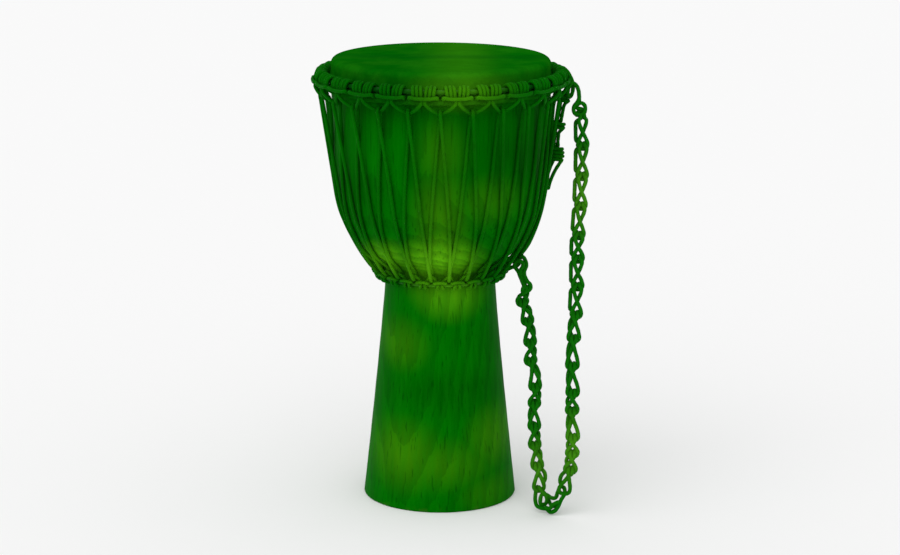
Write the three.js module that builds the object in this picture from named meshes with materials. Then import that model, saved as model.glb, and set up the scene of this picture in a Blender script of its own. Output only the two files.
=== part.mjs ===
// Djembe: a rope-tuned goblet drum with a chain-knotted rope strap.
//
// Units are millimetres and +Z is up. The drum stands on the plane z = 0. The origin is the middle of
// the whole object's footprint, so the drum's own axis stands a little to the -X side of it, and the
// strap hangs on the +X side. Inside the drum group all positions are measured from the drum's axis.

import * as THREE from 'three';

// ---- driving dimensions -------------------------------------------------------------------------

const HEIGHT = 618;                 // floor to playing surface
const DRUM_AXIS_X = -13.5;          // drum axis, seen from the origin
const CIRCLE_STEPS = 48;            // facets round the drum
const GAP = 0.3;                    // air left between neighbouring solids

// Goat skin.
const HEAD_RADIUS = 150.3;          // outside of the skin where it hangs down past the rim
const SKIN = 1.5;
const HEAD_EDGE = 8;                // rounding from the playing surface to the side
const COLLAR_BOTTOM_Z = 587;

// Wooden shell. The bowl's outside is given as [z, radius] rows.
const FOOT_RADIUS = 107;
const NECK_RADIUS = 76.6;
const NECK_Z = 305;                 // where the foot meets the bowl
const FOOT_FLARE = 1.12;            // 1 would be a straight cone
const RIM_RADIUS = 148.5;
const RIM_Z = HEIGHT - HEAD_EDGE;   // where the outside starts to round over into the bearing edge
const RIM_WALL = 14;                // wall thickness of the bowl at its top
const BEARING_EDGE_DEPTH = 6;       // slope of the bearing edge, down to the inside of the bowl
const BOWL_OUTSIDE = [
  [NECK_Z, NECK_RADIUS], [318, 76.9], [329, 81], [343, 94], [355, 109.6],
  [388, 128.4], [420, 139.6], [480, 147.5], [520, 149], [RIM_Z, RIM_RADIUS],
];
const THROAT_RADIUS = 47;           // narrowest inside radius, at the neck
const FOOT_INSIDE_RADIUS = 92;       // at the floor

// Steel rings: centre-line radius, height and the rod's own radius.
const CROWN_RING = { radius: 163, z: 594, rod: 3.5 };
const FLESH_RING = { radius: 156, z: 580, rod: 3 };
const BOTTOM_RING = { radius: 85.7, z: 317.5, rod: 2.5 };

// Ropes, by their diameters.
const LOOPS = 24;                   // loops on each ring
const CROWN_ROPE = 5;
const BOTTOM_ROPE = 4.4;
const LACING_ROPE = 5;
const STRAP_ROPE = 5.6;
const CROWN_LOOP_RADIUS = 160.5;    // where a hanging crown loop turns
const CROWN_LOOP_BOTTOM_Z = 565;
const LACING_TOP_Z = 571;           // where the lacing turns through a crown loop
const BOTTOM_LOOP_TOP_Z = 336;
const LACING_BOTTOM_Z = 328;        // where it turns through a bottom loop

// Strap: it hangs in the plane through its two ties and the place where it touches the floor.
const STRAP_WIDTH = 19;
const STRAP_TOP = new THREE.Vector3(190, -20.6, 558);
const STRAP_NECK = new THREE.Vector3(122, -32, 300);
const STRAP_FLOOR = new THREE.Vector3(160, -113, 8);

const wood = new THREE.MeshStandardMaterial({ color: 0x0b5206, roughness: 0.5, metalness: 0 });
const skin = new THREE.MeshStandardMaterial({ color: 0x2a7006, roughness: 0.6, metalness: 0 });
const steel = new THREE.MeshStandardMaterial({ color: 0x0c4a0a, roughness: 0.4, metalness: 0.8 });
const rope = new THREE.MeshStandardMaterial({ color: 0x05560a, roughness: 0.85, metalness: 0 });
const strapRope = new THREE.MeshStandardMaterial({ color: 0x1c6206, roughness: 0.85, metalness: 0 });

// ---- helpers ------------------------------------------------------------------------------------

// A body of revolution about +Z from a profile of [radius, z] points that goes up on its outside.
function turned(profile) {
  const points = profile.map(([r, z]) => new THREE.Vector2(r, z));
  return new THREE.LatheGeometry(points, CIRCLE_STEPS).rotateX(Math.PI / 2);
}

// A curve through given points, one equal step of its parameter between each two of them.
class PointPath extends THREE.Curve {
  constructor(points) {
    super();
    this.points = points;
  }

  getPoint(t, target = new THREE.Vector3()) {
    const place = Math.min(Math.max(t, 0), 1) * (this.points.length - 1);
    const first = Math.min(Math.floor(place), this.points.length - 2);
    return target.lerpVectors(this.points[first], this.points[first + 1], place - first);
  }

  getPointAt(t, target) {
    return this.getPoint(t, target);
  }

  getTangentAt(t, target) {
    return this.getTangent(t, target);
  }
}

// A cord of constant thickness through the points, closed at both ends.
function cord(points, diameter, sides) {
  const outline = [];
  for (let side = 0; side < sides; side += 1) {
    const angle = (2 * Math.PI * side) / sides;
    outline.push(new THREE.Vector2(Math.cos(angle), Math.sin(angle)).multiplyScalar(diameter / 2));
  }
  const path = new PointPath(points);
  return new THREE.ExtrudeGeometry(new THREE.Shape(outline), { steps: points.length - 1, extrudePath: path });
}

function polar(angle, radius, z) {
  return new THREE.Vector3(radius * Math.cos(angle), radius * Math.sin(angle), z);
}

// Smooth radius at height z through a table of [z, radius] rows, lowest first.
function tableRadius(table, z) {
  const last = table.length - 2;
  const row = Math.min(Math.max(table.findIndex((entry) => entry[0] > z) - 1, 0), last);
  const index = z >= table[last + 1][0] ? last : row;
  const slope = (i) => {
    const low = table[Math.max(i - 1, 0)];
    const high = table[Math.min(i + 1, last + 1)];
    return (high[1] - low[1]) / (high[0] - low[0]);
  };
  const [z0, r0] = table[index];
  const [z1, r1] = table[index + 1];
  const t = (z - z0) / (z1 - z0);
  const h = z1 - z0;
  return r0 * (1 - t) ** 2 * (1 + 2 * t) + r1 * t ** 2 * (3 - 2 * t)
    + h * slope(index) * t * (1 - t) ** 2 - h * slope(index + 1) * t ** 2 * (1 - t);
}

function outsideRadius(z) {
  if (z > NECK_Z) return tableRadius(BOWL_OUTSIDE, z);
  return NECK_RADIUS + (FOOT_RADIUS - NECK_RADIUS) * (1 - z / NECK_Z) ** FOOT_FLARE;
}

// [radius, z] of a place at a distance outside the shell, straight out from its surface at height z.
function offShell(z, distance) {
  const step = 0.5;
  const slope = (outsideRadius(z + step) - outsideRadius(z - step)) / (2 * step);
  const length = Math.hypot(1, slope);
  return [outsideRadius(z) + distance / length, z - (distance * slope) / length];
}

// [radius, z] of a place on the rounded edge of the head, at a distance from the rounding's centre.
function headEdge(distance, degrees) {
  const angle = THREE.MathUtils.degToRad(degrees);
  return [
    HEAD_RADIUS - HEAD_EDGE + distance * Math.cos(angle),
    HEIGHT - HEAD_EDGE + distance * Math.sin(angle),
  ];
}

// ---- wooden shell -------------------------------------------------------------------------------

const BOWL_STEPS = [350, 368, 385, 408, 440];
const SHELL_STEPS = [75, 155, 235, 305, 318, 325, 332, 341, ...BOWL_STEPS, 480, 520, RIM_Z];

function shell() {
  const chamfer = 2.5;
  const outside = SHELL_STEPS.map((z) => [outsideRadius(z), z]);
  const bearingEdge = HEAD_EDGE - SKIN - 2 * GAP;
  const rim = [
    headEdge(bearingEdge, 45),
    headEdge(bearingEdge, 80),
    [RIM_RADIUS - RIM_WALL, RIM_Z - BEARING_EDGE_DEPTH],
  ];
  const inside = [
    [134, 540], [130, 480], [123, 435], [108, 392], [82, 350], [56, 318],
    [THROAT_RADIUS, 296], [54, 240], [68, 130], [FOOT_INSIDE_RADIUS, 0],
  ];
  const foot = [FOOT_RADIUS - chamfer, 0];
  return turned([foot, [FOOT_RADIUS, chamfer], ...outside, ...rim, ...inside, foot]);
}

// ---- skin ---------------------------------------------------------------------------------------

// The stretched head with the collar that hangs down outside the rim.
function drumhead() {
  const turn = [0, 30, 60, 90];
  const start = [HEAD_RADIUS, COLLAR_BOTTOM_Z];
  return turned([
    start,
    ...turn.map((degrees) => headEdge(HEAD_EDGE, degrees)),
    [0, HEIGHT], [0, HEIGHT - SKIN],
    ...turn.toReversed().map((degrees) => headEdge(HEAD_EDGE - SKIN, degrees)),
    [HEAD_RADIUS - SKIN, COLLAR_BOTTOM_Z], start,
  ]);
}

// The edge of the skin, wrapped round the flesh ring from below and open on the drum's side.
function skinTuck() {
  const inner = FLESH_RING.rod + GAP;
  const outer = inner + SKIN;
  const arc = (radius, degrees) => {
    const angle = THREE.MathUtils.degToRad(degrees);
    return [FLESH_RING.radius + radius * Math.cos(angle), FLESH_RING.z + radius * Math.sin(angle)];
  };
  const turn = [-180, -120, -60, 0, 60, 120];
  const profile = [
    ...turn.map((degrees) => arc(outer, degrees)),
    ...turn.toReversed().map((degrees) => arc(inner, degrees)),
  ];
  return turned([...profile, profile[0]]);
}

// ---- steel rings --------------------------------------------------------------------------------

function ring({ radius, z, rod }) {
  const sides = 6;
  const profile = [];
  for (let side = 0; side <= sides; side += 1) {
    const angle = (2 * Math.PI * (side % sides)) / sides;
    profile.push([radius + rod * Math.cos(angle), z + rod * Math.sin(angle)]);
  }
  return turned(profile);
}

// ---- ropes --------------------------------------------------------------------------------------

const PITCH = (2 * Math.PI) / LOOPS;
const ROPE_SIDES = 4;
const WRAP_STEPS = 6;               // straight pieces in one turn of rope round a ring
const LOOP_HALF_WIDTH = 6.2;        // half the width of one loop

// A rope round a ring: one turn round the rod between each two loops. `bight` gives a loop's
// [side, radius, z] points, and `direction` is 1 for loops that hang down and -1 for loops that stand up.
function ringLoops(target, diameter, bight, direction) {
  const points = [];
  const distance = (target.rod + diameter / 2 + 2 * GAP) / Math.cos(Math.PI / WRAP_STEPS);
  for (let loop = 0; loop < LOOPS; loop += 1) {
    const middle = loop * PITCH + (direction > 0 ? 0 : PITCH / 2);
    for (const [side, radius, z] of bight) points.push(polar(middle + side / radius, radius, z));
    if (loop === LOOPS - 1) break;
    const margin = LOOP_HALF_WIDTH / target.radius;
    for (let step = 0; step <= WRAP_STEPS; step += 1) {
      const share = step / WRAP_STEPS;
      const turn = 2 * Math.PI * share;
      const angle = middle + margin + (PITCH - 2 * margin) * share;
      const z = target.z + direction * distance * Math.sin(turn);
      points.push(polar(angle, target.radius + distance * Math.cos(turn), z));
    }
  }
  return cord(points, diameter, ROPE_SIDES);
}

function crownLoops() {
  const side = LOOP_HALF_WIDTH;
  const wrapped = FLESH_RING.rod + SKIN + CROWN_ROPE / 2 + 4 * GAP;
  const past = [FLESH_RING.radius + wrapped, FLESH_RING.z - 1];
  const low = [CROWN_LOOP_RADIUS, CROWN_LOOP_BOTTOM_Z];
  const bend = [CROWN_LOOP_RADIUS, CROWN_LOOP_BOTTOM_Z + 4];
  return ringLoops(CROWN_RING, CROWN_ROPE, [
    [-side, ...past], [-side, ...bend], [-side / 2, ...low], [side / 2, ...low], [side, ...bend],
    [side, ...past],
  ], 1);
}

function bottomLoops() {
  const side = LOOP_HALF_WIDTH;
  const middle = LACING_ROPE + BOTTOM_ROPE / 2 + 3 * GAP;
  const low = offShell(BOTTOM_LOOP_TOP_Z - 4, middle);
  const high = offShell(BOTTOM_LOOP_TOP_Z, middle);
  return ringLoops(BOTTOM_RING, BOTTOM_ROPE, [
    [-side, ...low], [-side / 2, ...high], [side / 2, ...high], [side, ...low],
  ], -1);
}

// The lacing: one rope that runs up and down between the two rings. It turns through each crown loop
// and each bottom loop, going up behind the loops and coming down in front of them.
function lacing() {
  const behind = LACING_ROPE / 2 + GAP;
  const front = behind + LACING_ROPE + BOTTOM_ROPE + 5 * GAP;
  const turnRadius = CROWN_ROPE / 2 + LACING_ROPE / 2 + 4 * GAP;
  const points = [];
  for (let loop = 0; loop < LOOPS; loop += 1) {
    const bottomAngle = (loop - 0.5) * PITCH;
    const topAngle = loop * PITCH;
    const share = (z) => (z - LACING_BOTTOM_Z) / (LACING_TOP_Z - LACING_BOTTOM_Z);
    const up = (z) => bottomAngle + (PITCH / 2) * share(z);
    const down = (z) => topAngle + (PITCH / 2) * (1 - share(z));
    for (const z of [BOTTOM_LOOP_TOP_Z, ...BOWL_STEPS, 480]) {
      points.push(polar(up(z), ...offShell(z, behind)));
    }
    points.push(polar(topAngle, CROWN_LOOP_RADIUS - turnRadius, CROWN_LOOP_BOTTOM_Z));
    points.push(polar(topAngle, CROWN_LOOP_RADIUS, LACING_TOP_Z));
    points.push(polar(topAngle, CROWN_LOOP_RADIUS + turnRadius, CROWN_LOOP_BOTTOM_Z));
    for (const z of BOWL_STEPS.toReversed()) points.push(polar(down(z), ...offShell(z, behind)));
    points.push(polar(topAngle + PITCH / 2, ...offShell(BOTTOM_LOOP_TOP_Z + 1, front)));
    points.push(polar(topAngle + PITCH / 2, ...offShell(LACING_BOTTOM_Z - 1, (front + behind) / 2)));
  }
  points.pop();
  return cord(points, LACING_ROPE, ROPE_SIDES);
}

// The spare end of the lacing, tied up over the ropes on the strap's side with half hitches.
function tailRope() {
  const angle = -0.012;             // beside the lacing strand that it is tied to
  const line = [
    [153.6, 443], [157, 458], [163, 472], [163.5, 492], [162, 506], [165.8, 526],
    [168.6, 541], [173.5, 556], [173.6, 575],
  ];
  return cord(line.map(([radius, z]) => polar(angle, radius, z)), LACING_ROPE, 6);
}

// ---- strap --------------------------------------------------------------------------------------

const strapPlane = new THREE.Plane().setFromCoplanarPoints(STRAP_TOP, STRAP_NECK, STRAP_FLOOR);

function onStrapPlane([x, z]) {
  const { normal, constant } = strapPlane;
  return new THREE.Vector3(x, -(normal.x * x + normal.z * z + constant) / normal.y, z);
}

// One chain-knotted strand as a plain cord through [x, z] places on the strap's plane.
function strand(places, steps) {
  const curve = new THREE.CatmullRomCurve3(places.map(onStrapPlane));
  return cord(curve.getSpacedPoints(steps), STRAP_WIDTH, 8);
}

function longStrand() {
  return strand([
    [190, 557], [192, 500], [190.5, 415], [185.5, 270], [181.5, 215], [182, 110], [180, 60], [171, 30],
    [159, 14], [144, 12],
  ], 27);
}

function shortStrand() {
  return strand([
    [120.5, 297], [115.5, 280], [123, 238], [131, 180], [130, 125], [135.5, 70], [139, 26],
  ], 18);
}

// The tie that hangs the strap from the crown bundle.
function crownTie() {
  const points = [
    [174, -14, 584], [181, -15, 585.5], [186, -16, 582], [188.4, -18, 573], [189.6, -20, 560],
  ];
  return cord(points.map((place) => new THREE.Vector3(...place)), STRAP_ROPE, 6);
}

// The tie that holds the strap's lower end to the bottom bundle: a doubled rope.
function neckTie() {
  const points = [[108.5, -18, 338], [111, -20, 330], [113.5, -24, 320], [119, -29, 308], [121, -31, 300]];
  return cord(points.map((place) => new THREE.Vector3(...place)), 2 * STRAP_ROPE, 6);
}

// ---- assembly -----------------------------------------------------------------------------------

const object = new THREE.Group();
const drum = new THREE.Group();
drum.position.x = DRUM_AXIS_X;
object.add(drum);

function place(name, geometry, material) {
  const mesh = new THREE.Mesh(geometry, material);
  mesh.name = name;
  drum.add(mesh);
}

place('shell', shell(), wood);
place('drumhead', drumhead(), skin);
place('skin_tuck', skinTuck(), skin);
place('flesh_ring', ring(FLESH_RING), steel);
place('crown_ring', ring(CROWN_RING), steel);
place('bottom_ring', ring(BOTTOM_RING), steel);
place('crown_loops', crownLoops(), rope);
place('bottom_loops', bottomLoops(), rope);
place('lacing_rope', lacing(), rope);
place('tail_rope', tailRope(), rope);
place('strap_crown_tie', crownTie(), strapRope);
place('strap_neck_tie', neckTie(), strapRope);
place('strap_chain_long', longStrand(), strapRope);
place('strap_chain_short', shortStrand(), strapRope);

export default object;
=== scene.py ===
"""Looks of a rope-tuned goblet drum with a chain-knotted strap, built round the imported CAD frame.

Lengths in the geometry code are millimetres in the row frame; mesh_object() turns them into metres.
"""
import math

import bpy
import numpy as np
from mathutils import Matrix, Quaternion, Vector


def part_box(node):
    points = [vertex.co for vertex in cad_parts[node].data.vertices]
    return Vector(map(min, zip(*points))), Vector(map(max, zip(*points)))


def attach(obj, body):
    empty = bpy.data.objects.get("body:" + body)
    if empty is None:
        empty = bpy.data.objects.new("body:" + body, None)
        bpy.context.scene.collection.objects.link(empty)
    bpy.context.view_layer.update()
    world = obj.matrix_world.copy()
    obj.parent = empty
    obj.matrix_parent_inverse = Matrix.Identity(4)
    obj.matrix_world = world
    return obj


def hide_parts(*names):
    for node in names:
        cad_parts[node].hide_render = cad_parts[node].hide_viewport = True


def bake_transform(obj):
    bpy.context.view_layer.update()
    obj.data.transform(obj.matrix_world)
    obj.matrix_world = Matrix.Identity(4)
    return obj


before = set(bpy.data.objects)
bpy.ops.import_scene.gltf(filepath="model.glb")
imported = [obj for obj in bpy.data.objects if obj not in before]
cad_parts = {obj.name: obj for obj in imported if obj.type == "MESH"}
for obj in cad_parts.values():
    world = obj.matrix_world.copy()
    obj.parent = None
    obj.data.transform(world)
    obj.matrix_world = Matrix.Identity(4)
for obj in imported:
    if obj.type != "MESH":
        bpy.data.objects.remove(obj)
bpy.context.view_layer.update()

MM = 0.001
TURN = 2 * math.pi


# ---- places taken from the frame -----------------------------------------------------------------

def box_mm(node):
    low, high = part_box(node)
    return np.array(low) / MM, np.array(high) / MM


def ring_place(node):
    """(centre-line radius, height, rod radius) of a steel ring; its CAD rod is a hexagon."""
    low, high = box_mm(node)
    rod = (high[2] - low[2]) / 2 / math.sin(math.radians(60))
    return (high[0] - low[0]) / 2 - rod, (high[2] + low[2]) / 2, rod


SHELL_LOW, SHELL_HIGH = box_mm("shell")
AXIS = np.array([(SHELL_LOW[0] + SHELL_HIGH[0]) / 2, 0.0, 0.0])
HEAD_LOW, HEAD_HIGH = box_mm("drumhead")
HEIGHT = HEAD_HIGH[2]
HEAD_RADIUS = (HEAD_HIGH[0] - HEAD_LOW[0]) / 2
CROWN_R, CROWN_Z, CROWN_ROD = ring_place("crown_ring")
FLESH_R, FLESH_Z, FLESH_ROD = ring_place("flesh_ring")
BOTTOM_R, BOTTOM_Z, BOTTOM_ROD = ring_place("bottom_ring")

# ---- driving dimensions --------------------------------------------------------------------------

SKIN = 1.5
HEAD_EDGE = 8.0                    # rounding from the playing surface to the side
BELLY = 1.8                        # how far the skin's side stands out at BELLY_Z
BELLY_Z = FLESH_Z + 12
FOOT_RADIUS = 107.0
NECK_RADIUS = 76.6
NECK_Z = 305.0
FOOT_FLARE = 1.12                  # 1 would be a straight cone
RIM_RADIUS = 148.5
RIM_Z = HEIGHT - HEAD_EDGE
BORE_TOP_Z = RIM_Z - 6
BOWL_OUTSIDE = [                   # rows of (z, radius), lowest first, as in BORE
    (NECK_Z, NECK_RADIUS), (318, 76.9), (329, 81), (343, 94), (355, 109.6),
    (388, 128.4), (420, 139.6), (480, 147.5), (520, 149), (RIM_Z, RIM_RADIUS),
]
BORE = [
    (0, 92), (130, 68), (240, 54), (296, 47), (318, 56), (350, 82), (392, 108),
    (435, 123), (480, 130), (540, 134), (BORE_TOP_Z, 134.5),
]

LOOPS = 24
PITCH = TURN / LOOPS
CROWN_ROPE = 2.5                   # rope radii
BOTTOM_ROPE = 2.2
LACING_ROPE = 2.5
STRAP_ROPE = 2.75
CROWN_LOOP_R = 160.5               # middle of the crown loops, where the lacing turns over them
CROWN_LOOP_Z = 565.0
BOTTOM_LOOP_Z = 335.5              # the same for the bottom loops, measured on the shell

# Three places on the strap, which hangs in the plane through them.
STRAP_TOP = np.array([190, -20.6, 558])
STRAP_NECK = np.array([122, -32, 300])
STRAP_FLOOR = np.array([160, -113, 8])


# ---- curves --------------------------------------------------------------------------------------

def table_radius(table, z):
    """Smooth radius at height z through (z, radius) rows, lowest first."""
    last = len(table) - 2
    index = min(max(sum(1 for row in table if row[0] <= z) - 1, 0), last)

    def slope(i):
        low, high = table[max(i - 1, 0)], table[min(i + 1, last + 1)]
        return (high[1] - low[1]) / (high[0] - low[0])

    (z0, r0), (z1, r1) = table[index], table[index + 1]
    h = z1 - z0
    t = (z - z0) / h
    return (r0 * (1 - t) ** 2 * (1 + 2 * t) + r1 * t ** 2 * (3 - 2 * t)
            + h * slope(index) * t * (1 - t) ** 2 - h * slope(index + 1) * t ** 2 * (1 - t))


def outside_radius(z):
    if z > NECK_Z:
        return table_radius(BOWL_OUTSIDE, z)
    return NECK_RADIUS + (FOOT_RADIUS - NECK_RADIUS) * (1 - z / NECK_Z) ** FOOT_FLARE


def off_shell(z, distance):
    """(radius, z) at a distance straight out from the shell's surface at height z."""
    slope = outside_radius(z + 0.5) - outside_radius(z - 0.5)
    length = math.hypot(1, slope)
    return outside_radius(z) + distance / length, z - distance * slope / length


def bump_at(z, middle, height, reach):
    """A smooth bump over z: its height at the middle, falling away to nothing over about twice its reach."""
    return height * math.exp(-((z - middle) / reach) ** 2)


def polar(angle, radius, z):
    return np.array([radius * math.cos(angle), radius * math.sin(angle), z])


def smooth_line(points, step):
    """Points at equal steps on a centripetal Catmull-Rom curve through the given points."""
    given = np.array(points, float)
    given = np.vstack([2 * given[0] - given[1], given, 2 * given[-1] - given[-2]])
    gaps = np.maximum(np.linalg.norm(np.diff(given, axis=0), axis=1), 1e-6) ** 0.5
    knot = np.concatenate([[0], np.cumsum(gaps)])
    pieces = []
    for i in range(1, len(given) - 2):
        k0, k1, k2, k3 = knot[i - 1:i + 3]
        p0, p1, p2, p3 = given[i - 1:i + 3]
        count = max(3, int(2 * np.linalg.norm(p2 - p1) / step))
        t = np.linspace(k1, k2, count, endpoint=False)[:, None]
        a1 = (k1 - t) / (k1 - k0) * p0 + (t - k0) / (k1 - k0) * p1
        a2 = (k2 - t) / (k2 - k1) * p1 + (t - k1) / (k2 - k1) * p2
        a3 = (k3 - t) / (k3 - k2) * p2 + (t - k2) / (k3 - k2) * p3
        b1 = (k2 - t) / (k2 - k0) * a1 + (t - k0) / (k2 - k0) * a2
        b2 = (k3 - t) / (k3 - k1) * a2 + (t - k1) / (k3 - k1) * a3
        pieces.append((k2 - t) / (k2 - k1) * b1 + (t - k1) / (k2 - k1) * b2)
    line = np.vstack(pieces + [given[-2:-1]])
    along = np.concatenate([[0], np.cumsum(np.linalg.norm(np.diff(line, axis=0), axis=1))])
    places = np.linspace(0, along[-1], max(3, int(round(along[-1] / step)) + 1))
    return np.stack([np.interp(places, along, line[:, axis]) for axis in range(3)], 1)


# ---- meshes --------------------------------------------------------------------------------------

def mesh_object(name, vertices, faces, uvs=None):
    """A smooth-shaded object. vertices are from the drum's axis in mm, and uvs has a row per face corner."""
    mesh = bpy.data.meshes.new(name)
    mesh.from_pydata((np.asarray(vertices) + AXIS) * MM, [], faces)
    if uvs is not None:
        layer = mesh.uv_layers.new(name="along_rope")
        layer.data.foreach_set("uv", np.asarray(uvs, np.float32).ravel())
    mesh.shade_smooth()
    piece = bpy.data.objects.new(name, mesh)
    bpy.context.scene.collection.objects.link(piece)
    return piece


def turned(name, profile, steps, shape=None):
    """A closed body of revolution. shape(angle, radius, z) may move each point of the profile."""
    angles = np.arange(steps) * TURN / steps
    rows = []
    for angle in angles:
        for radius, z in profile:
            if shape:
                radius, z = shape(angle, radius, z)
            rows.append(polar(angle, radius, z))
    count = len(profile)
    i, k = np.meshgrid(np.arange(steps), np.arange(count), indexing="ij")
    right, up = (i + 1) % steps, (k + 1) % count
    faces = np.stack([i * count + k, right * count + k, right * count + up, i * count + up], -1)
    return mesh_object(name, rows, faces.reshape(-1, 4).tolist())


def frames_along(line):
    """Two side directions at each point of a line, which turn as little as possible along it."""
    tangent = np.gradient(line, axis=0)
    tangent /= np.linalg.norm(tangent, axis=1)[:, None]
    side = np.cross(tangent[0], [0.31, 0.17, 0.93])
    sides = np.empty_like(line)
    for i, direction in enumerate(tangent):
        side = side - direction * np.dot(side, direction)
        side /= np.linalg.norm(side)
        sides[i] = side
    return sides, np.cross(tangent, sides)


def rope(name, points, radius, step=2.0, sides=12, relief=0.0):
    """Round rope through the points, with rounded ends and the length along it in its UV map.

    relief is the height in mm of the braid's own lumps, made in the mesh."""
    line = smooth_line(points, step)
    u_dir, v_dir = frames_along(line)
    around = np.arange(sides) * TURN / sides
    length = np.arange(len(line)) * step
    size = np.full((len(line), sides), float(radius))
    if relief:
        lead = 4.0 * radius
        twist = length[:, None] / lead * TURN
        size += relief * np.maximum(np.cos(4 * around + twist), np.cos(4 * around - twist))
    end = np.minimum(length, length[-1] - length) / radius
    size *= np.sqrt(np.clip(1 - (1 - np.clip(end, 0, 1)) ** 2, 0.04, 1))[:, None]
    outwards = (np.cos(around)[None, :, None] * u_dir[:, None, :]
                + np.sin(around)[None, :, None] * v_dir[:, None, :])
    vertices = (line[:, None, :] + size[..., None] * outwards).reshape(-1, 3)

    i, k = np.meshgrid(np.arange(len(line) - 1), np.arange(sides), indexing="ij")
    here, ahead, right = i * sides, (i + 1) * sides, (k + 1) % sides
    quads = np.stack([here + k, here + right, ahead + right, ahead + k], -1).reshape(-1, 4)
    first_cap = list(range(sides - 1, -1, -1))
    last_cap = list(range(len(vertices) - sides, len(vertices)))

    low, high = length[i], length[i + 1]
    corners = [np.stack([k / sides, low], -1), np.stack([(k + 1) / sides, low], -1),
               np.stack([(k + 1) / sides, high], -1), np.stack([k / sides, high], -1)]
    uvs = np.vstack([np.stack(corners, -2).reshape(-1, 2), np.zeros((2 * sides, 2))])
    return mesh_object(name, vertices, quads.tolist() + [first_cap, last_cap], uvs)


# ---- node materials ------------------------------------------------------------------------------

# Soft patches of the dye's three other shades: (x from the drum's axis, z, half width, half height) in mm,
# then how strong the patch is.
OLIVE_PATCHES = [
    (26, 594, 85, 34, 0.75), (-4, 342, 56, 66, 1.0), (-72, 352, 48, 38, 0.6), (2, 425, 48, 80, 0.7),
    (62, 442, 60, 42, 0.4), (2, 510, 42, 62, 0.42), (-55, 230, 46, 42, 0.6), (-50, 76, 64, 58, 0.8),
    (76, 98, 48, 52, 0.7), (2, 66, 95, 42, 0.55), (194, 440, 40, 70, 0.75), (185, 92, 40, 66, 0.85),
    (138, 60, 40, 50, 0.7), (70, 22, 50, 34, 0.35),
]
BRIGHT_PATCHES = [
    (0, 352, 68, 48, 1.0), (14, 304, 56, 44, 0.5), (-72, 352, 42, 34, 0.6), (26, 594, 66, 30, 0.22),
]
DARK_PATCHES = [
    (112, 505, 76, 66, 1.0), (-82, 590, 84, 62, 0.7), (10, 166, 130, 46, 0.75), (92, 226, 60, 44, 0.35),
    (-110, 440, 40, 60, 0.5),
]


class Nodes:
    """Short calls for building one material's node tree."""

    def __init__(self, name):
        self.material = bpy.data.materials.new(name)
        self.material.use_nodes = True
        self.tree = self.material.node_tree
        self.shader = self.tree.nodes["Principled BSDF"]
        self.coordinates = self.tree.nodes.new("ShaderNodeTexCoord")

    def add(self, kind, inputs=None, output=0, **settings):
        made = self.tree.nodes.new(kind)
        for key, value in settings.items():
            setattr(made, key, value)
        for key, value in (inputs or {}).items():
            self.feed(made.inputs[key], value)
        return made.outputs[output]

    def feed(self, socket, value):
        if isinstance(value, bpy.types.NodeSocket):
            self.tree.links.new(value, socket)
        else:
            socket.default_value = value

    def math(self, operation, a, b=0.0):
        return self.add("ShaderNodeMath", {0: a, 1: b}, operation=operation)

    def place(self, scale=(1, 1, 1), shift=(0, 0, 0)):
        """Object coordinates in metres, moved and stretched."""
        return self.add("ShaderNodeMapping", {"Vector": self.coordinates.outputs["Object"],
                                              "Location": shift, "Scale": scale})

    def noise(self, vector, scale, detail=3.0, rough=0.5):
        return self.add("ShaderNodeTexNoise", {"Vector": vector, "Scale": scale, "Detail": detail,
                                               "Roughness": rough})

    def ramp(self, value, low, high, start=0.0, end=1.0):
        return self.add("ShaderNodeMapRange", {"Value": value, "From Min": low, "From Max": high,
                                               "To Min": start, "To Max": end},
                        interpolation_type="SMOOTHSTEP")

    def mix(self, share, a, b):
        """Colour a turned into colour b by a share; they are the node's inputs 6 and 7."""
        return self.add("ShaderNodeMix", {0: share, 6: a, 7: b}, output=2, data_type="RGBA")

    def bump(self, height, strength, distance, under=None):
        inputs = {"Height": height, "Strength": strength, "Distance": distance}
        if under is not None:
            inputs["Normal"] = under
        return self.add("ShaderNodeBump", inputs)

    def finish(self, colour, roughness, normal, **extra):
        self.feed(self.shader.inputs["Base Color"], colour)
        self.feed(self.shader.inputs["Roughness"], roughness)
        self.feed(self.shader.inputs["Normal"], normal)
        for key, value in extra.items():
            self.feed(self.shader.inputs[key.replace("_", " ")], value)
        return self.material


def srgb(code):
    """Linear RGBA of a hex colour."""
    values = [int(code[i:i + 2], 16) / 255 for i in (0, 2, 4)]
    return [v / 12.92 if v <= 0.04045 else ((v + 0.055) / 1.055) ** 2.4 for v in values] + [1.0]


GREEN_TINT = srgb("46b23c")         # every highlight's tint
BRIGHT_DYE = srgb("62b610")


def patches(n, table):
    """How far inside any of the soft patches a point lies, 0 to 1."""
    total = None
    for x, z, width, height, strength in table:
        centre = n.add("ShaderNodeVectorMath", {0: n.coordinates.outputs["Object"],
                                                1: ((x + AXIS[0]) * MM, 0, z * MM)}, operation="SUBTRACT")
        scaled = n.add("ShaderNodeVectorMath", {0: centre, 1: (1 / (width * MM), 0, 1 / (height * MM))},
                       operation="MULTIPLY")
        reach = n.add("ShaderNodeVectorMath", {0: scaled}, output=1, operation="LENGTH")
        share = n.ramp(reach, 0.0, 1.15, strength, 0.0)
        total = share if total is None else n.math("MAXIMUM", total, share)
    return total


def mottled(n, base, dark, olive):
    """The dye's colour: green with soft dark, olive and bright patches, broken up a little by noise."""
    wander = n.noise(n.place(), 9.0, 2.0)
    colour = n.mix(n.ramp(wander, 0.35, 0.7, 0.0, 0.25), base, dark)
    colour = n.mix(n.math("MULTIPLY", patches(n, DARK_PATCHES), 0.85), colour, dark)
    colour = n.mix(patches(n, OLIVE_PATCHES), colour, olive)
    return n.mix(patches(n, BRIGHT_PATCHES), colour, BRIGHT_DYE)


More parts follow.
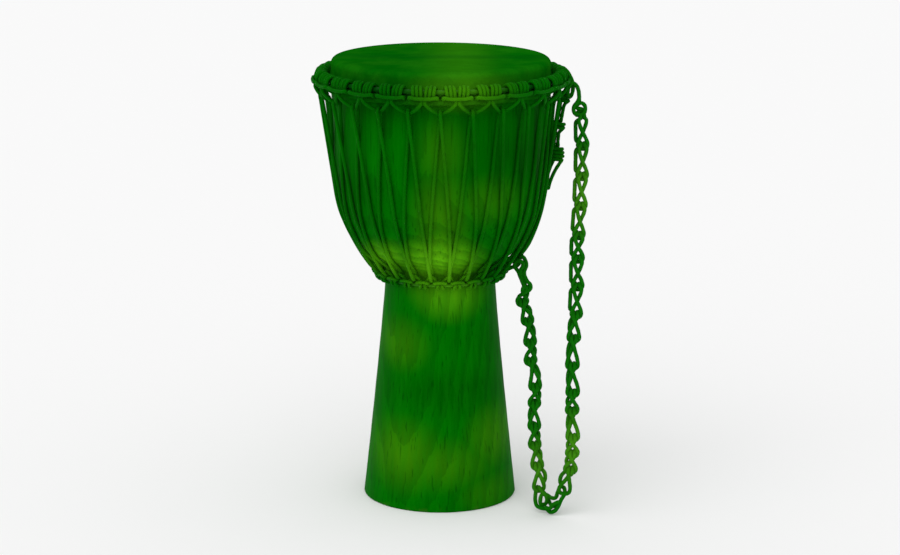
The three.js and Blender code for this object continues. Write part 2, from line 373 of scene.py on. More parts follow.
def wood_material():
    n = Nodes("stained_wood")
    colour = mottled(n, srgb("006600"), srgb("004a00"), srgb("3c8004"))
    bend = n.noise(n.place((1, 1, 0.35)), 7.0, 3.0)
    bent = n.add("ShaderNodeVectorMath", {0: n.place((1, 1, 0.12), (0.021, 0.013, 0)),
                                          1: n.add("ShaderNodeVectorMath", {0: bend, 1: (0.03, 0.03, 0.0)},
                                                   operation="MULTIPLY")}, operation="ADD")
    rings = n.add("ShaderNodeTexWave", {"Vector": bent, "Scale": 36.0, "Distortion": 2.2, "Detail": 3.0,
                                        "Detail Scale": 2.0}, output=1, wave_type="RINGS",
                  rings_direction="Z", wave_profile="SAW")
    fibre = n.noise(n.place((160, 160, 5)), 1.0, 4.0, 0.65)
    pores = n.ramp(n.noise(n.place((420, 420, 16)), 1.0, 1.0), 0.62, 0.72)
    colour = n.mix(n.ramp(rings, 0.1, 0.9, 0.0, 0.26), colour, srgb("003402"))
    colour = n.mix(n.ramp(fibre, 0.35, 0.7, 0.0, 0.24), colour, srgb("0f7a08"))
    colour = n.mix(n.math("MULTIPLY", pores, 0.4), colour, srgb("002b02"))
    height = n.add("ShaderNodeSeparateXYZ", {0: n.coordinates.outputs["Object"]}, output=2)
    scuffs = n.ramp(n.noise(n.place((60, 60, 60)), 1.0, 4.0, 0.7), 0.5, 0.66)
    worn = n.math("MULTIPLY", n.ramp(height, 0.0, 0.009, 1.0, 0.0), scuffs)
    colour = n.mix(n.math("MULTIPLY", worn, 0.45), colour, srgb("3f6b1c"))
    rough = n.ramp(fibre, 0.3, 0.7, 0.5, 0.66)
    normal = n.bump(rings, 0.12, 0.0006)
    normal = n.bump(fibre, 0.25, 0.0004, normal)
    normal = n.bump(n.math("SUBTRACT", 1.0, pores), 0.3, 0.0003, normal)
    return n.finish(colour, rough, normal, Specular_IOR_Level=0.015, Specular_Tint=GREEN_TINT)


def skin_material():
    n = Nodes("dyed_goat_skin")
    colour = mottled(n, srgb("036204"), srgb("004f03"), srgb("3b840c"))
    blotch = n.noise(n.place((1, 1, 1)), 22.0, 5.0, 0.6)
    veins = n.ramp(n.noise(n.place((1, 2.2, 1)), 38.0, 4.0, 0.7), 0.49, 0.53)
    pores = n.add("ShaderNodeTexVoronoi", {"Vector": n.place(), "Scale": 900.0})
    hairs = n.ramp(n.noise(n.place((1400, 220, 300)), 1.0, 2.0), 0.64, 0.72)
    colour = n.mix(n.ramp(blotch, 0.35, 0.7, 0.0, 0.22), colour, srgb("2c8010"))
    colour = n.mix(n.math("MULTIPLY", veins, 0.10), colour, srgb("002b02"))
    colour = n.mix(n.math("MULTIPLY", hairs, 0.35), colour, srgb("013a04"))
    side = n.add("ShaderNodeSeparateXYZ", {0: n.place((1, 1, 1), (-AXIS[0] * MM, 0, 0))}, output=1)
    spine = n.ramp(n.math("ABSOLUTE", side), 0.004, 0.03, 0.3, 0.0)
    colour = n.mix(spine, colour, srgb("02480a"))
    normal = n.bump(blotch, 0.15, 0.0008)
    normal = n.bump(pores, 0.25, 0.0002, normal)
    return n.finish(colour, n.ramp(blotch, 0.3, 0.7, 0.55, 0.72), normal, Specular_IOR_Level=0.0,
                    Specular_Tint=GREEN_TINT)


def rope_material(name, base, dark, olive, strands=6.0, lead=11.0):
    """Braided cord. The braid follows the UV map: u round the rope and v along it in mm."""
    n = Nodes(name)
    colour = mottled(n, base, dark, olive)
    uv = n.coordinates.outputs["UV"]
    u = n.math("MULTIPLY", n.add("ShaderNodeSeparateXYZ", {0: uv}, output=0), strands)
    v = n.math("DIVIDE", n.add("ShaderNodeSeparateXYZ", {0: uv}, output=1), lead / strands)
    one, other = n.math("ADD", u, v), n.math("SUBTRACT", u, v)

    def lump(value):
        return n.math("ABSOLUTE", n.math("SINE", n.math("MULTIPLY", value, math.pi)))

    crossing = n.math("MULTIPLY", n.math("SINE", n.math("MULTIPLY", one, math.pi)),
                      n.math("SINE", n.math("MULTIPLY", other, math.pi)))
    over = n.ramp(crossing, -0.15, 0.15)
    braid = n.math("ADD", n.math("MULTIPLY", over, lump(one)),
                   n.math("MULTIPLY", n.math("SUBTRACT", 1.0, over), lump(other)))
    fuzz = n.noise(n.place((900, 900, 900)), 1.0, 3.0)
    # Painted shade: the colour is darkened in the grooves between the braid's strands.
    colour = n.mix(n.ramp(braid, 0.75, 0.1, 0.0, 0.55), colour, srgb("012a02"))
    colour = n.mix(n.math("MULTIPLY", n.ramp(fuzz, 0.5, 0.8), 0.35), colour, srgb("2f8a24"))
    grime = n.ramp(n.noise(n.place(), 60.0, 4.0, 0.7), 0.5, 0.75)
    colour = n.mix(n.math("MULTIPLY", grime, 0.3), colour, srgb("0c3304"))
    normal = n.bump(braid, 0.7, 0.0006)
    normal = n.bump(fuzz, 0.3, 0.0003, normal)
    return n.finish(colour, n.ramp(fuzz, 0.3, 0.7, 0.72, 0.92), normal, Specular_IOR_Level=0.06,
                    Specular_Tint=GREEN_TINT)


def ring_material():
    n = Nodes("painted_ring_steel")
    colour = mottled(n, srgb("014c06"), srgb("003a04"), srgb("2c6a0c"))
    chips = n.ramp(n.noise(n.place(), 260.0, 4.0, 0.65), 0.63, 0.68)
    colour = n.mix(n.math("MULTIPLY", chips, 0.7), colour, srgb("27351f"))
    normal = n.bump(n.math("SUBTRACT", 1.0, chips), 0.35, 0.0003)
    normal = n.bump(n.noise(n.place(), 500.0), 0.1, 0.0002, normal)
    return n.finish(colour, n.ramp(chips, 0, 1, 0.45, 0.62), normal, Specular_IOR_Level=0.25,
                    Specular_Tint=GREEN_TINT, Metallic=n.math("MULTIPLY", chips, 0.8))


# ---- shell, skin and rings -----------------------------------------------------------------------

def arc(centre, radius, start, end, count):
    """(radius, z) points on an arc; angles in degrees, 0 outwards and 90 up."""
    angles = np.radians(np.linspace(start, end, count))
    return [(centre[0] + radius * math.cos(a), centre[1] + radius * math.sin(a)) for a in angles]


def build_shell():
    lip = 2.5
    edge_centre = (HEAD_RADIUS - HEAD_EDGE, HEIGHT - HEAD_EDGE)
    edge = HEAD_EDGE - SKIN - 0.6
    profile = arc((FOOT_RADIUS - lip - 0.3, lip), lip, -90, 0, 5)
    profile += [(outside_radius(z), z) for z in np.linspace(6, NECK_Z, 76)]
    profile += [(outside_radius(z), z) for z in np.linspace(NECK_Z + 3, RIM_Z, 100)]
    profile += arc(edge_centre, edge, 12, 82, 8)
    profile += [(table_radius(BORE, z), z) for z in np.linspace(BORE_TOP_Z, 0, 110)]

    def carved(angle, radius, z):
        """Shallow tool facets: the wood was shaped by hand, so no circle is quite true."""
        inside = radius < table_radius(BORE, min(z, BORE_TOP_Z)) + 3
        depth = 0.9 if inside else 0.16
        height = math.sin(23 * angle + 0.05 * z) * math.sin(0.07 * z + 3 * math.sin(5 * angle))
        height += 0.7 * math.sin(3 * angle + 1.1) * math.sin(0.017 * z)
        fade = min(1.0, max(0.0, (RIM_Z - z) / 20)) * min(1.0, z / 4)
        return radius + (depth * height - 0.15) * fade, z

    return turned("shell_carved", profile, 224, carved)


def build_skin():
    """Head, collar and tuck as one sheet of skin: its outer face up, then its inner face back."""
    def face(offset):
        edge_centre = (HEAD_RADIUS - HEAD_EDGE, HEIGHT - HEAD_EDGE)
        tuck = FLESH_ROD + 0.3 + SKIN - offset
        points = arc((FLESH_R, FLESH_Z), tuck, 112, -180, 34)
        points += [(HEAD_RADIUS - offset + 0.35, FLESH_Z + 7), (HEAD_RADIUS - offset, FLESH_Z + 12)]
        points += [(HEAD_RADIUS - offset, z) for z in np.linspace(FLESH_Z + 15, HEIGHT - HEAD_EDGE - 1, 6)]
        points += arc(edge_centre, HEAD_EDGE - offset, 0, 90, 10)
        points += [(r, HEIGHT - offset) for r in np.linspace(HEAD_RADIUS - HEAD_EDGE - 6, 6, 16)]
        return points + [(0.4, HEIGHT - offset)]

    def pleated(angle, radius, z):
        """Small folds where the skin is gathered round the flesh ring, and a slight belly above them."""
        low = 1 / (1 + math.exp((z - (FLESH_Z + 9)) / 2.5))
        fold = math.sin(47 * angle + 2 * math.sin(7 * angle)) + 0.6 * math.sin(83 * angle + 1.3)
        sag = 0.25 * math.sin(2 * angle + 0.4) * (radius / HEAD_RADIUS) ** 2 * (z > HEIGHT - 3)
        belly = bump_at(z, BELLY_Z, BELLY, 6) if radius > HEAD_RADIUS - 6 else 0.0
        return radius + 0.32 * fold * low + belly, z + 0.3 * fold * low * 0.5 + sag * 0.3

    return turned("skin_sheet", face(0.0) + face(SKIN)[::-1], 288, pleated)


def build_ring(name, place):
    radius, z, rod = place
    return turned(name, arc((radius, z), rod, 0, 345, 24), 224)


# ---- ropes on the rings --------------------------------------------------------------------------

def around_ring(place, turn, distance):
    """(radius, z) at an angle round a ring's rod, in degrees from straight outwards."""
    angle = math.radians(turn)
    return place[0] + distance * math.cos(angle), place[1] + distance * math.sin(angle)


OUTSIDE_TURN = 50                  # degrees round a ring's rod where its middle turns stand up most


def hitch_rope(place, rope_radius, half_width, turns, bar, droop, swell, bight, up):
    """Points of one rope: cow hitches on a ring with a loop of slack between each two.

    up is 1 when the loops stand up from the ring and -1 when they hang. bar is the angle of the hitch's
    front bar from level, droop how far the turns hang off the rod at that side and swell how far, in rope
    thicknesses, the middle turns stand up on the outside. bight gives the loop from the end of one hitch
    to the middle of the loop as (share of the half pitch, radius, z). The rope starts at the middle of
    the first hitch, which has no left half, and ends at the middle of the last loop."""
    near = place[2] + rope_radius + 0.25
    first_turn = bar + 30
    last_turn = 404 + 360 * (turns - 1)

    def lay(middle, side, turn, layer):
        angle = math.radians(turn)
        slack = droop * max(0.0, math.sin(2 * angle)) if math.cos(angle) > 0 else 0.0
        return beside(place, middle, side, up * turn, near + slack + 2 * rope_radius * layer)

    points = []
    for hitch in range(LOOPS):
        middle = hitch_angle(hitch, up)
        tilt = 4 * math.sin(5.0 * hitch + up)
        half = [(0.0, bar + tilt, 1.05), (half_width * 0.55, bar - 3, 1.0), (half_width, bar - 7, 0.85),
                (half_width + 0.3, bar + 12, 0.3)]
        steps = 8 * turns
        for step in range(steps + 1):
            share = step / steps
            side = half_width - (half_width - rope_radius * 1.1) * share
            turn = first_turn + (last_turn - first_turn) * share
            outside = max(0.0, math.cos(math.radians(up * turn - OUTSIDE_TURN)))
            half.append((side, turn, swell * math.sin(math.pi * share) * outside))
        right = [lay(middle, *spot) for spot in half]
        right += [polar(middle + share * PITCH / 2, r, z) for share, r, z in bight]
        if hitch:
            points += [mirror(point, middle) for point in right][:0:-1]
        points += right[1:] if hitch else right
    return points


def hitch_angle(hitch, up):
    return (hitch + (0.0 if up > 0 else 0.5)) * PITCH


def beside(place, middle, side, turn, distance):
    """A place near a ring's rod: to the side of an angle round the drum, and at an angle round the rod."""
    radius, z = around_ring(place, turn, distance)
    return polar(middle + side / place[0], radius, z)


def mirror(point, angle):
    """The point mirrored in the upright plane through the axis at that angle."""
    c, s = math.cos(2 * angle), math.sin(2 * angle)
    return np.array([c * point[0] + s * point[1], s * point[0] - c * point[1], point[2]])


def build_crown_loops():
    place = (CROWN_R, CROWN_Z, CROWN_ROD)
    bight = [(0.10, 172.2, 581.5), (0.30, 170.2, 575.2), (0.55, 166.2, 570.4), (0.80, 161.8, 566.8),
             (0.94, CROWN_LOOP_R, CROWN_LOOP_Z + 0.4)]
    points = hitch_rope(place, CROWN_ROPE, half_width=17.2, turns=3, bar=32, droop=3.0, swell=0.32,
                        bight=bight, up=-1)
    return rope("crown_loop_rope", points, CROWN_ROPE, step=1.6)


def build_bottom_loops():
    place = (BOTTOM_R, BOTTOM_Z, BOTTOM_ROD)
    bight = [(0.45, *off_shell(BOTTOM_LOOP_Z - 8, BOTTOM_LOOP_OUT + 0.5)),
             (0.72, *off_shell(BOTTOM_LOOP_Z - 3, BOTTOM_LOOP_OUT)),
             (0.92, *off_shell(BOTTOM_LOOP_Z - 0.3, BOTTOM_LOOP_OUT))]
    points = hitch_rope(place, BOTTOM_ROPE, half_width=7.0, turns=1, bar=34, droop=0.0, swell=0.0,
                        bight=bight, up=1)
    return rope("bottom_loop_rope", points, BOTTOM_ROPE, step=1.4)


# ---- lacing --------------------------------------------------------------------------------------

CROWN_TURN = LACING_ROPE + CROWN_ROPE + 0.2             # radius of the lacing's turn over a crown loop
BOTTOM_TURN = LACING_ROPE + BOTTOM_ROPE + 0.1           # and under a bottom loop
BOTTOM_LOOP_OUT = 2 * LACING_ROPE + BOTTOM_ROPE + 0.3   # bottom loops, outwards from the shell
LACING_OUT = LACING_ROPE + 0.3
STRAND_Z = (350, 362, 376, 392, 408, 426, 445, 462, 480, 500, 520, 544, 558)
LEAVE_Z = 445                      # above here a strand runs straight to its crown loop
FRONT_LIFT = 6.0                   # a front strand's foot stands off the shell, starting at FRONT_LIFT_Z
FRONT_LIFT_Z = 366
FRONT_LIFT_SPAN = 20

# The first front strand is lifted by the tail's big knot and is slack lower down.
KNOT_BUMP = {"middle": 479.0, "height": 5.5, "reach": 16}
SLACK_BUMP = {"middle": 366.0, "height": 4.2, "reach": 32}

# The lacing's two ends lie beside the strap's neck knot, which holds them off the shell.
TIED_Z = 416.0                     # where the lift starts
TIED_LIFT = 6.2
TIED_SPAN = 64.0
END_Z = 339
FRONT_END_OUT = 6.5
BACK_END_OUT = 2.0


def lacing_strand(loop, front):
    """Points of one run of the lacing, from the bottom loop up to the top one."""
    foot_angle = (loop + (0.5 if front else -0.5)) * PITCH
    head_angle = loop * PITCH
    end_radius = CROWN_LOOP_R + (CROWN_TURN if front else -CROWN_TURN)
    start_radius = off_shell(LEAVE_Z, LACING_OUT)[0]
    tied = loop == (LOOPS - 1 if front else 0)
    most = 0.5 * TIED_LIFT if front else TIED_LIFT
    points = []
    for z in STRAND_Z:
        share = (z - BOTTOM_LOOP_Z) / (CROWN_LOOP_Z - BOTTOM_LOOP_Z)
        angle = foot_angle + (head_angle - foot_angle) * share
        lift = FRONT_LIFT * max(0.0, (FRONT_LIFT_Z - z) / FRONT_LIFT_SPAN) ** 1.3 if front else 0.0
        if tied:
            lift += min(most, TIED_LIFT * max(0.0, TIED_Z - z) / TIED_SPAN)
        radius, height = off_shell(z, LACING_OUT + lift)
        if z > LEAVE_Z:
            straight = start_radius + (end_radius - start_radius) * (z - LEAVE_Z) / (CROWN_LOOP_Z - LEAVE_Z)
            radius, height = max(straight, radius), z
        if front and loop == 0:
            radius += bump_at(z, **KNOT_BUMP) + bump_at(z, **SLACK_BUMP)
        points.append(polar(angle, radius, height))
    if tied:
        end_out = LACING_OUT + (FRONT_END_OUT if front else BACK_END_OUT)
        points.insert(0, polar(foot_angle, *off_shell(END_Z, end_out)))
    return points


def lacing_top(loop):
    """The turn over a crown loop, from behind it to in front of it."""
    return [polar(loop * PITCH, r, z) for r, z in
            arc((CROWN_LOOP_R, CROWN_LOOP_Z), CROWN_TURN, 180, 0, 7)]


def lacing_bottom(loop):
    """The turn under a bottom loop, from in front of it to behind it."""
    points = []
    for turn in np.radians((0, 45, 90, 135, 180)):
        out = max(BOTTOM_LOOP_OUT + BOTTOM_TURN * math.cos(turn), LACING_OUT)
        radius, z = off_shell(BOTTOM_LOOP_Z - BOTTOM_TURN * math.sin(turn), out)
        points.append(polar((loop + 0.5) * PITCH, radius, z))
    return points


def build_lacing():
    """One rope up and down all round. Its two ends stop beside each other, behind the strap's neck knot."""
    points = []
    for loop in range(LOOPS):
        points += lacing_strand(loop, False)
        points += lacing_top(loop)
        points += lacing_strand(loop, True)[::-1]
        if loop < LOOPS - 1:
            points += lacing_bottom(loop)
    return rope("lacing", points, LACING_ROPE)


# ---- tail of the lacing with its half hitches ----------------------------------------------------

def build_tail():
    """The spare end comes down the outside of a front strand of the lacing, hitched round it in places.

    It starts under the crown bundle and isn't joined to the lacing there."""
    strand = smooth_line(lacing_strand(0, True) + lacing_top(0)[:3:-1], 1.0)
    strand = strand[np.argsort(strand[:, 2])]
    snug = 2 * LACING_ROPE + 0.1        # between the middle lines of two ropes that touch

    def beside_strand(out, side, z):
        centre = [np.interp(z, strand[:, 2], strand[:, axis]) for axis in range(3)]
        return np.array([centre[0] + out, centre[1] + side, z])

    # One turn round the strand and the rope that lies on it, as (outwards, sideways), from the outside.
    turn = [(1.0, 0.2), (0.75, 1.0), (-0.35, 0.92), (-0.95, 0.0), (-0.35, -0.92), (0.9, -1.0),
            (1.65, -0.8), (2.0, 0.0)]

    def hitch(z, turns, swell):
        """Turns packed downwards from height z; each stands out further than the last by swell."""
        made = []
        for count in range(turns):
            for index, (out, side) in enumerate(turn):
                if count and index == 0:
                    out, side = 1.9, 0.7
                reach = snug * out + swell * count * max(0.0, out - 1)
                made.append(beside_strand(reach, snug * side, z - snug * (count + index / len(turn))))
        return made

    def run(high, low):
        """The rope lying straight on the strand from one height down to another."""
        return [beside_strand(snug, 0.2, z) for z in np.linspace(high, low, 4)]

    loose_end = [(164.5, 1.5, 471.5), (158.2, 0.8, 461.5), (153.4, -0.5, 451.5), (150.2, -2.0, 442.5),
                 (148.2, -3.5, 434.0)]
    points = [beside_strand(7.5, 5, 578), beside_strand(9.0, 1.0, 571.5)]
    points += hitch(567, 2, 0.0) + [beside_strand(1.3 * snug, 0.4, 554)]
    points += run(549, 534) + hitch(529, 2, 0.0) + run(513, 498)
    points += hitch(494, 4, 0.4) + [np.array(place) for place in loose_end]
    return rope("tail_hitches", points, LACING_ROPE, step=1.5, sides=14, relief=0.12)


# ---- strap ---------------------------------------------------------------------------------------

plane_normal = np.cross(STRAP_TOP - STRAP_NECK, STRAP_FLOOR - STRAP_NECK)
plane_normal = -plane_normal * np.sign(plane_normal[1]) / np.linalg.norm(plane_normal)

FLOOR_GAP = STRAP_ROPE + 0.6       # lowest place for the rope's middle line
CHAIN_MESH = {"step": 1.3, "relief": 0.13}
TIE_MESH = {"step": 1.3, "sides": 14, "relief": 0.14}

# Middle lines of the two chains on the strap's plane, as (x, z) from the top down.
LONG_PATH = [
    (191.2, 541), (191.8, 488), (189.6, 415), (187, 374), (185.8, 300), (182.6, 245), (180.9, 206),
    (181.6, 178), (181, 148), (182, 112), (181.4, 88), (178.6, 64), (174.6, 49), (171.2, 37), (170.2, 31),
]
SHORT_PATH = [
    (119, 304), (114.5, 292), (114.5, 280), (119.2, 267), (123.2, 247), (125.4, 224), (125.8, 204),
    (131.3, 183), (131.9, 162), (130.3, 130), (130.6, 107), (133, 83), (136, 60), (137.8, 40), (137.8, 29),
]


def on_plane(x, z):
    """The place on the strap's plane at x and z."""
    offset = np.dot(plane_normal, STRAP_NECK)
    return np.array([x, (offset - plane_normal[0] * x - plane_normal[2] * z) / plane_normal[1], z])


def chain(path, pitches, width, slack_knots=0):
    """Chain knots down a path: each loop is pulled from behind through the round end of the one above it.

    pitches gives the length of each knot. The rope that feeds the next loop runs down behind this one,
    on the right where the length is positive and on the left where it is negative. In the first
    slack_knots the two legs of a loop cross low down and the feeding rope lies beside them."""
    line = smooth_line([on_plane(x, z) for x, z in path], 1.0)
    total = len(line) - 1.0
    tangent = np.gradient(line, axis=0)
    tangent /= np.linalg.norm(tangent, axis=1)[:, None]
    forward = np.array([0.0, -1.0, 0.0]) + tangent * tangent[:, 1:2]
    forward /= np.linalg.norm(forward, axis=1)[:, None]
    lateral = np.cross(forward, tangent)
    thick = 2 * STRAP_ROPE
    scale = (total - 1.2 * thick) / sum(abs(pitch) for pitch in pitches)

    def spot(side, front, along):
        """A place beside, in front of (in rope thicknesses) and along the chain's middle line."""
        inside = min(max(along, 0.0), total)
        k = min(int(inside), len(line) - 2)
        base = line[k] * (1 - inside + k) + line[k + 1] * (inside - k)
        place = base + lateral[k] * side + forward[k] * front * thick + tangent[k] * (along - inside)
        place[2] = max(place[2], FLOOR_GAP)
        return place

    points = []
    root = 0.0
    for index, pitch in enumerate(pitches):
        length = abs(pitch) * scale
        lean = math.copysign(1.0, pitch)
        slack = index < slack_knots
        shift = -lean * (1.7 if slack else 0.5)
        bulge = width / 2 - STRAP_ROPE - (0.8 if slack else 0.0)
        apart = 5.2 if slack else 2.4
        crossing = 0.6 * length if slack else min(2.0 * thick, 0.6 * length)
        rest = length - crossing

        # Rows of (side, front, along): one leg of the loop above and below the legs' crossing.
        above = [(2.5, -0.35, -0.3 * thick), (2.8, 0.45, 0.4 * thick), (apart, 0.95, 1.15 * thick)]
        below = [(3.0, 0.45, crossing + 0.34 * rest), (0.78 * bulge, 0.3, crossing + 0.66 * rest),
                 (bulge, 0.1, length), (0.88 * bulge, -0.05, length + 0.70 * thick),
                 (0.50 * bulge, -0.1, length + 1.10 * thick)]
        points += [spot(lean * s + shift, f, root + a) for s, f, a in above]
        points.append(spot(shift, 0.85 if slack else 1.15, root + crossing))
        points += [spot(-lean * s + shift, f, root + a) for s, f, a in below]
        points.append(spot(shift, -0.1, root + length + 1.22 * thick))
        points += [spot(lean * s + shift, f, root + a) for s, f, a in below[::-1]]
        points.append(spot(shift, -0.1 if slack else 0.25, root + crossing))
        points += [spot(-lean * s + shift, f, root + a) for s, f, a in above[::-1]]

        # The feeding rope stands off the middle line by reach halfway down, and by side above and below.
        reach, side, depth = (7.6, 6.8, -0.5) if slack else (5.8, 3.6, -0.8)
        if index == len(pitches) - 1:
            reach, side = 8.6, 5.5
        feed = [(-1.0, -1.0, 0.35 * thick), (side, -1.0, 1.5 * thick), (reach, depth, 0.45 * length),
                (reach, depth, 0.68 * length), (side, -0.8, 0.88 * length)]
        points += [spot(lean * s, f, root + a) for s, f, a in feed if a < 0.9 * length]
        root += length
    return points


def ball_knot(centre):
    """A stopper knot as (right, front, up) places round its centre: an outer turn, then an inner one."""
    winding = [
        (-1.0, 0.2, 13.5), (-3.8, 1.5, 8.6), (-7.5, 2.6, 3.6), (-8.0, 2.6, -2.2), (-5.5, 2.2, -6.8),
        (0.2, 1.8, -8.4), (5.6, 1.2, -6.4), (8.0, 0.4, -1.0), (7.0, -0.6, 4.8), (3.0, -1.2, 7.9),
        (-1.6, -2.0, 6.4), (-4.2, -2.5, 1.6), (-0.8, -2.8, -0.1), (3.4, -3.0, -0.7), (4.6, -3.6, -3.4),
        (1.6, -3.8, -5.0), (-2.2, -3.4, -5.2), (-3.6, -2.6, -9.0),
    ]
    return [np.array(centre) + np.array([right, -front, up]) for right, front, up in winding]


def build_long_chain():
    top = [on_plane(188.6, 569)]
    pitches = [-39, -42, -41.5, -41, -33, -38.5, -39.5, -33.6, -38.5, -38, -25, -37.5, -22.5, -23, -31.5]
    points = top + ball_knot(on_plane(188.9, 550.3)) + chain(LONG_PATH, pitches, width=20.5, slack_knots=7)
    return rope("strap_long_chain", points, STRAP_ROPE, **CHAIN_MESH)


def build_short_chain():
    pitches = [21.5, 28, 30.5, 26, 37, 24, -32, 26, 29, 31]
    return rope("strap_short_chain", chain(SHORT_PATH, pitches, width=19.5), STRAP_ROPE, **CHAIN_MESH)


def build_strap_join():
    """The two chains' ends knotted together near the floor, as (x, z, towards the front) on the plane."""
    winding = [
        (136, 36, -3), (133, 26, 1), (132.5, 16, 3), (134.8, 9.2, 3.5), (140.5, 7.2, 2.5), (147, 6.8, 1),
        (153.6, 3.8, 2), (159.8, 8, 3), (164, 15, 3), (167, 22, 1), (172, 31, -2), (171.5, 38, -4),
        (166.5, 38.5, -5), (163, 31, -4), (159.8, 22.8, -3), (154, 22.4, -1), (148, 26.2, 2),
        (141.5, 26, 4), (139.3, 19.5, 5), (139.9, 12.6, 3), (145.5, 12, -2), (148.4, 18, 1),
        (147, 25, 5), (141, 30.5, 3.5), (137.5, 33.5, -2), (142.5, 28.5, -4.5), (148.3, 21.5, -4.5),
        (154.6, 11.4, -4), (160.6, 13, 0), (164.4, 20, 4), (160, 18.6, 6.5), (155.6, 15, 6.5),
        (151.4, 9.6, 6.5), (144.5, 10.8, 6.5),
    ]
    points = [on_plane(x, z) + np.array([0.0, -front, 0.0]) for x, z, front in winding]
    points = [np.array([x, y, max(z, FLOOR_GAP)]) for x, y, z in points]
    return rope("strap_join", points, STRAP_ROPE, **CHAIN_MESH)


def build_crown_tie():
    """A round turn over the crown bundle, a second one in front of it, then down to the stopper knot."""
    points = [
        (157.5, -2, 593), (158.5, -2, 600), (162.5, -2.2, 603.8), (167.2, -2.5, 603.2), (171.3, -2.9, 600),
        (174.8, -3.5, 595), (178, -4.2, 589), (180, -5, 582), (180.3, -6, 574.5), (178.8, -7.2, 568),
        (175.8, -8.8, 564.6), (173.4, -10.6, 567.8), (173.4, -12, 574.5), (175.6, -12.2, 581),
        (179.8, -11.4, 584.2), (184.6, -12.6, 581), (187.4, -14.9, 575.2), (188.3, -16.9, 568.3),
        (188.5, -18.3, 562.5), (188.6, -19, 557),
    ]
    return rope("strap_tie_crown", points, STRAP_ROPE, **TIE_MESH)


def build_neck_tie():
    """A knot in the bottom bundle, then a doubled rope whose round end holds the short chain."""
    points = [
        (86, -5, 322), (92, -12, 323.2), (98.4, -15.5, 327), (105, -16.8, 329.2), (109.2, -17.2, 333.6),
        (109.6, -17.2, 339.6), (113, -18.6, 343.2), (117.4, -20.4, 338.6), (118.9, -21.6, 330.5),
        (116.1, -23.4, 323), (117.2, -26.2, 316), (120.4, -28.8, 310.4), (124.2, -30.4, 306.4),
        (124.6, -32.8, 301), (120.8, -33.2, 297.8), (117, -31.0, 302.5), (113.4, -28.0, 309.5),
        (110.4, -25.2, 316.5), (107.6, -22.6, 323), (103.6, -20.8, 328.6), (103, -22.4, 334.6),
        (108.2, -24.8, 338.8), (114, -26.0, 335.6), (113.6, -26.0, 330.4), (110.9, -24.8, 325.2),
        (112.4, -24.2, 318.5), (115.6, -25.6, 312), (118.6, -28.2, 305.5),
    ]
    return rope("strap_tie_neck", points, STRAP_ROPE, **TIE_MESH)


# ---- assembly ------------------------------------------------------------------------------------

wood = wood_material()
skin = skin_material()
ring_paint = ring_material()
cord_dye = [srgb("026d00"), srgb("005000"), srgb("3c8604")]
loop_cord = rope_material("loop_cord", *cord_dye, strands=5.0, lead=10.0)
lacing_cord = rope_material("lacing_cord", *cord_dye)
strap_cord = rope_material("strap_cord", srgb("107208"), srgb("055c04"), srgb("4e9a18"))


# Heights given to bend() for a piece that crosses the tuning joint: one at the drum and one at the crown.
SKIN_BEND = (606, 591)
LACING_BEND = (350, 563)
TIE_BEND = (560, 574)


def dress(piece, material, nodes):
    piece.data.materials.append(material)
    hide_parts(*nodes)
    return piece


def bend(piece, drum_z, crown_z):
    """Bakes the piece's transform into its mesh; the piece is not bent. drum_z and crown_z are not used."""
    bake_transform(piece)


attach(dress(build_shell(), wood, ["shell"]), "drum")
bend(dress(build_skin(), skin, ["drumhead", "skin_tuck"]), *SKIN_BEND)
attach(dress(build_ring("ring_flesh", (FLESH_R, FLESH_Z, FLESH_ROD)), ring_paint,
              ["flesh_ring"]), "crown")
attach(dress(build_ring("ring_crown", (CROWN_R, CROWN_Z, CROWN_ROD)), ring_paint,
              ["crown_ring"]), "crown")
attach(dress(build_ring("ring_bottom", (BOTTOM_R, BOTTOM_Z, BOTTOM_ROD)), ring_paint,
              ["bottom_ring"]), "drum")
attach(dress(build_crown_loops(), loop_cord, ["crown_loops"]), "crown")
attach(dress(build_bottom_loops(), loop_cord, ["bottom_loops"]), "drum")
bend(dress(build_lacing(), lacing_cord, ["lacing_rope"]), *LACING_BEND)
bend(dress(build_tail(), lacing_cord, ["tail_rope"]), *LACING_BEND)
bend(dress(build_crown_tie(), strap_cord, ["strap_crown_tie"]), *TIE_BEND)
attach(dress(build_neck_tie(), strap_cord, ["strap_neck_tie"]), "drum")
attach(dress(build_long_chain(), strap_cord, ["strap_chain_long"]), "strap")
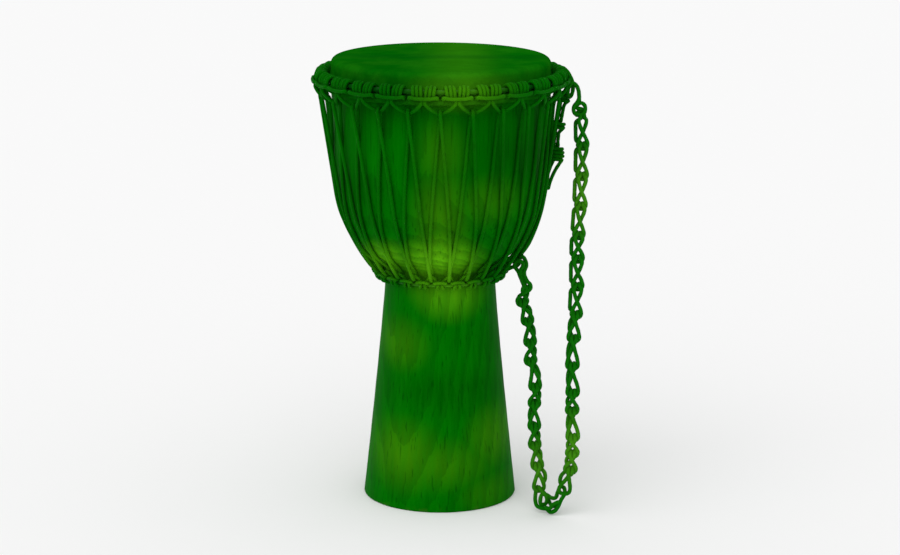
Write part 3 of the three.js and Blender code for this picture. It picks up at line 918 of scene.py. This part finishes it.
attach(dress(build_short_chain(), strap_cord, ["strap_chain_short"]), "strap")
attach(dress(build_strap_join(), strap_cord, ["strap_chain_short"]), "strap")


# ---- floor, light and camera ---------------------------------------------------------------------

def build_floor():
    mesh = bpy.data.meshes.new("floor")
    size = 40.0
    mesh.from_pydata([(-size, -size, 0), (size, -size, 0), (size, size, 0), (-size, size, 0)], [],
                     [(0, 1, 2, 3)])
    floor = bpy.data.objects.new("floor", mesh)
    bpy.context.scene.collection.objects.link(floor)
    material = bpy.data.materials.new("pale_floor")
    material.use_nodes = True
    shader = material.node_tree.nodes["Principled BSDF"]
    shader.inputs["Base Color"].default_value = (0.93, 0.93, 0.93, 1)
    shader.inputs["Roughness"].default_value = 1.0
    shader.inputs["Specular IOR Level"].default_value = 0.0
    mesh.materials.append(material)


def build_lights():
    """A bright even room and one very wide soft lamp from the upper left."""
    world = bpy.data.worlds.new("soft_room")
    bpy.context.scene.world = world
    world.use_nodes = True
    background = world.node_tree.nodes["Background"]
    background.inputs["Color"].default_value = (1, 1, 1, 1)
    background.inputs["Strength"].default_value = 0.82
    sun = bpy.data.lights.new("soft_sun", "SUN")
    sun.energy = 0.85
    sun.angle = math.radians(70)
    lamp = bpy.data.objects.new("soft_sun", sun)
    lamp.rotation_euler = (math.radians(42), 0, math.radians(-28))
    bpy.context.scene.collection.objects.link(lamp)


def build_camera():
    """Straight in front of the drum and a little above it, looking slightly down."""
    camera = bpy.data.cameras.new("camera")
    camera.sensor_width = 36.0
    camera.lens = 101.63
    camera.clip_end = 100.0
    holder = bpy.data.objects.new("camera", camera)
    looking_down = 13.137
    pitch, roll = math.radians(90 - looking_down), math.radians(0.23)
    holder.rotation_mode = "QUATERNION"
    holder.rotation_quaternion = Quaternion((1, 0, 0), pitch) @ Quaternion((0, 0, 1), roll)
    holder.location = (0.0, -3.4442, 1.1125)
    bpy.context.scene.collection.objects.link(holder)
    bpy.context.scene.camera = holder


build_floor()
build_lights()
build_camera()
bpy.context.scene.view_settings.view_transform = "Standard"
